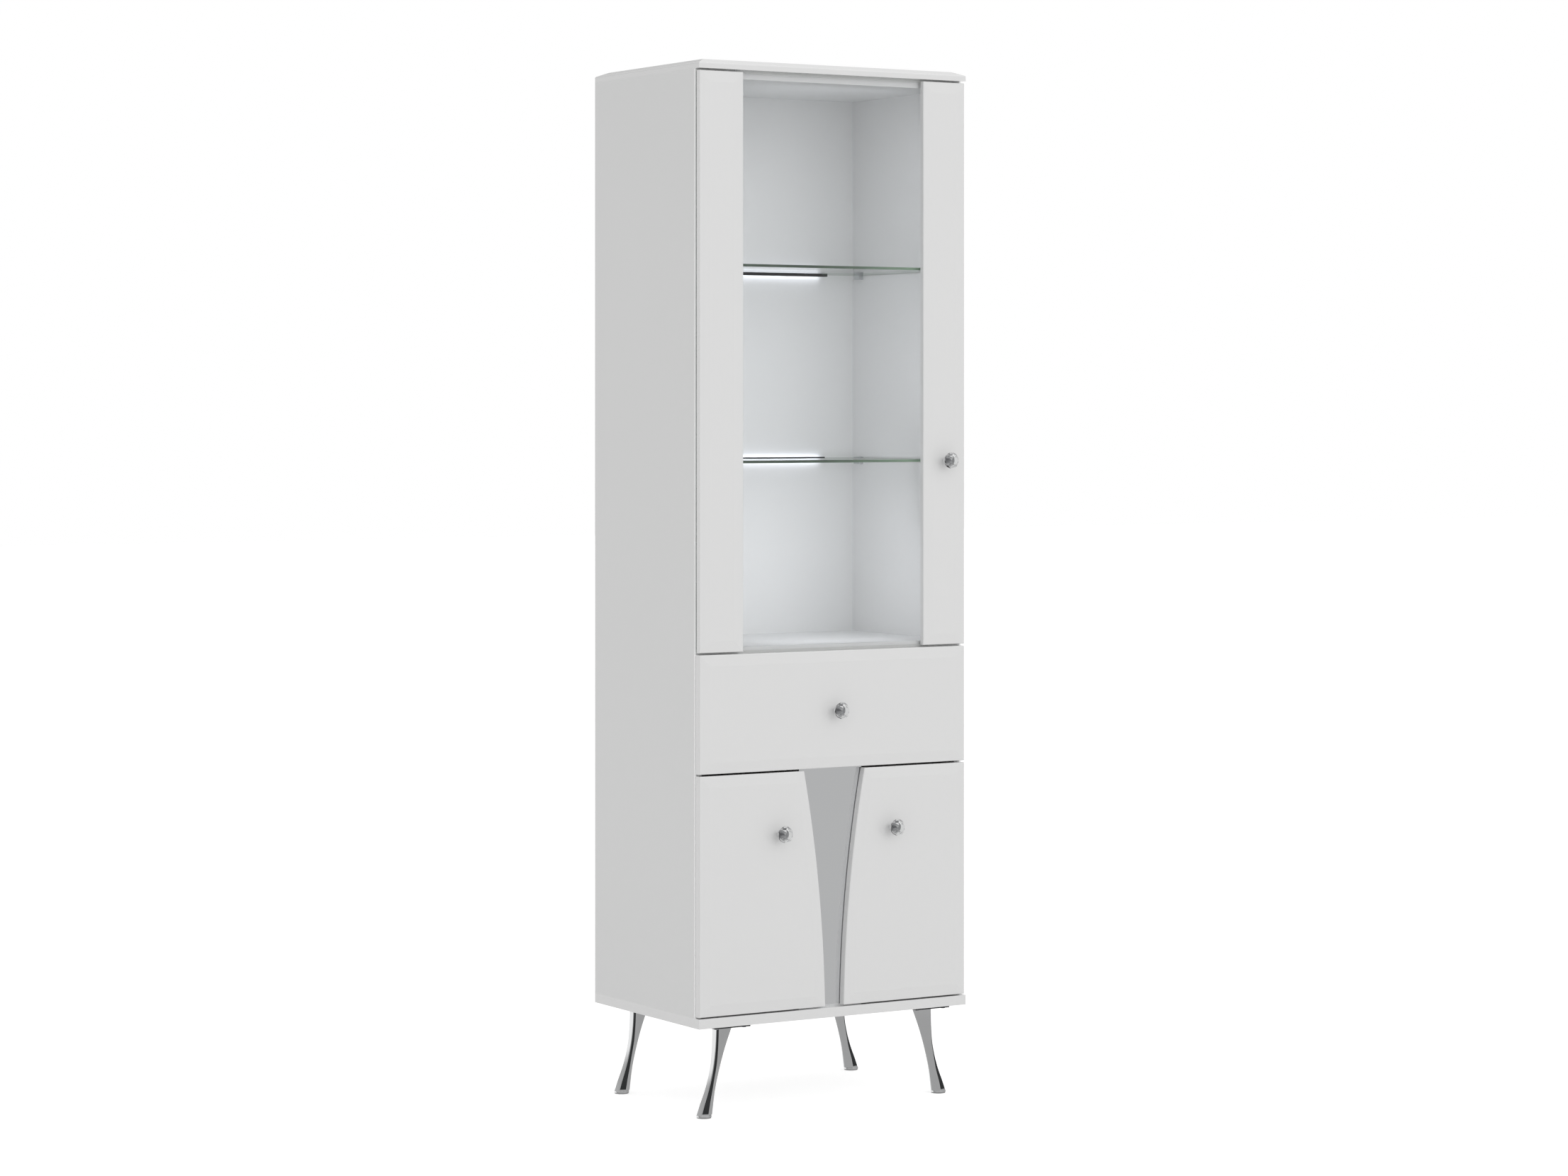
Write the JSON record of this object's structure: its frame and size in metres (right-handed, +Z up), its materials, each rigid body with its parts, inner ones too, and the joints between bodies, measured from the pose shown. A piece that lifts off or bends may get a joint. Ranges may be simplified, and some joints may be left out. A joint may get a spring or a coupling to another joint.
{
  "type": "curio cabinet",
  "caption": "Tall free-standing curio cabinet: glazed display door over lit glass shelves, a drawer, and curved lower doors around a mirror strip, on splayed chrome legs.",
  "frame": {"origin": "on the floor, below the centre of the whole cabinet's box, knobs included", "axes": "+Z up, +X to the right when facing the doors, -Y towards the person facing the doors"},
  "size_m": [0.6, 0.439, 1.9862],
  "materials": {
    "white_lacquer": "fibreboard under high-gloss white lacquer",
    "white_laminate": "chipboard under satin white laminate",
    "white_hardboard": "thin hardboard painted white",
    "silver_mirror": "silvered glass",
    "green_edge_glass": "clear float glass with green polished edges",
    "clear_glass": "clear tempered glass",
    "cut_crystal": "cut clear crystal",
    "polished_chrome": "polished chrome plate",
    "nickel_steel": "nickel-plated pressed steel",
    "zinc_steel": "zinc-plated steel",
    "black_steel": "black powder coat",
    "black_plastic": "matt black plastic",
    "black_cable": "soft black sheath",
    "clear_plastic": "translucent moulded plastic",
    "light_diffuser": "milky light diffuser, cold white when lit",
    "grey_pad": "soft grey glide",
    "clear_rubber": "translucent soft button",
    "beech": "fluted beech dowel"
  },
  "bodies": {
    "carcass": {"back_panel": "white_hardboard", "bottom_board": "white_lacquer", "carcass_dowels": "beech", "centre_post": "white_laminate", "display_floor": "white_laminate", "door_bumpers": "clear_rubber", "drawer_floor": "white_laminate", "foot_pads": "grey_pad", "glass_shelf_brackets": "clear_plastic", "glass_shelf_lower": "green_edge_glass", "glass_shelf_upper": "green_edge_glass", "hinge_arms": "nickel_steel", "inner_top_panel": "white_laminate", "leg_front_left": "polished_chrome", "leg_front_right": "polished_chrome", "leg_plates": "black_steel", "leg_rear_left": "polished_chrome", "leg_rear_right": "polished_chrome", "leg_screws": "zinc_steel", "light_cables": "black_cable", "light_driver": "black_plastic", "light_housing_lower": "black_plastic", "light_housing_upper": "black_plastic", "light_strip_lower": "light_diffuser", "light_strip_upper": "light_diffuser", "lower_shelf": "white_laminate", "lower_shelf_pins": "zinc_steel", "mirror_insert": "silver_mirror", "rails_fixed": "zinc_steel", "side_panel_left": "white_laminate", "side_panel_right": "white_laminate", "top_board": "white_lacquer"},
    "display_door": {"door_pane": "clear_glass", "door_stile_left": "white_lacquer", "door_stile_right": "white_lacquer", "hinge_cups_display": "nickel_steel", "knob_base_display": "polished_chrome", "knob_crystal_display": "cut_crystal"},
    "drawer": {"drawer_front": "white_lacquer", "drawer_side_left": "white_laminate", "drawer_side_right": "white_laminate", "drawer_back": "white_laminate", "drawer_base": "white_hardboard", "drawer_screws": "zinc_steel", "rails_drawer": "zinc_steel", "knob_base_drawer": "polished_chrome", "knob_crystal_drawer": "cut_crystal"},
    "drawer_middle_rails": {"rails_middle": "zinc_steel"},
    "left_door": {"door_left": "white_lacquer", "hinge_cups_left": "nickel_steel", "knob_base_left": "polished_chrome", "knob_crystal_left": "cut_crystal"},
    "right_door": {"door_right": "white_lacquer", "hinge_cups_right": "nickel_steel", "knob_base_right": "polished_chrome", "knob_crystal_right": "cut_crystal"},
    "display_hinge_links": {"hinge_links_display": "nickel_steel"},
    "left_hinge_links": {"hinge_links_left": "nickel_steel"},
    "right_hinge_links": {"hinge_links_right": "nickel_steel"}
  },
  "joints": [
    {"name": "display_door_hinge", "type": "hinge", "parent": "carcass", "child": "display_door", "pos_m": [-0.298, -0.1825, 1.42], "axis": [0, 0, -1], "range_deg": [0, 100]},
    {"name": "left_door_hinge", "type": "hinge", "parent": "carcass", "child": "left_door", "pos_m": [-0.298, -0.1825, 0.42], "axis": [0, 0, -1], "range_deg": [0, 100]},
    {"name": "right_door_hinge", "type": "hinge", "parent": "carcass", "child": "right_door", "pos_m": [0.298, -0.1825, 0.42], "axis": [0, 0, 1], "range_deg": [0, 100]},
    {"name": "display_links_hinge", "type": "hinge", "parent": "carcass", "child": "display_hinge_links", "pos_m": [-0.298, -0.1825, 1.42], "axis": [0, 0, -1], "range_deg": [0, 50]},
    {"name": "left_links_hinge", "type": "hinge", "parent": "carcass", "child": "left_hinge_links", "pos_m": [-0.298, -0.1825, 0.42], "axis": [0, 0, -1], "range_deg": [0, 50]},
    {"name": "right_links_hinge", "type": "hinge", "parent": "carcass", "child": "right_hinge_links", "pos_m": [0.298, -0.1825, 0.42], "axis": [0, 0, 1], "range_deg": [0, 50]},
    {"name": "drawer_slide", "type": "slide", "parent": "carcass", "child": "drawer", "axis": [0, -1, 0], "range_m": [0, 0.3]},
    {"name": "middle_rails_slide", "type": "slide", "parent": "carcass", "child": "drawer_middle_rails", "axis": [0, -1, 0], "range_m": [0, 0.15]}
  ],
  "couplings": [
    {"joint": "display_links_hinge", "follows": "display_door_hinge", "ratio": 0.5},
    {"joint": "left_links_hinge", "follows": "left_door_hinge", "ratio": 0.5},
    {"joint": "right_links_hinge", "follows": "right_door_hinge", "ratio": 0.5},
    {"joint": "middle_rails_slide", "follows": "drawer_slide", "ratio": 0.5}
  ]
}
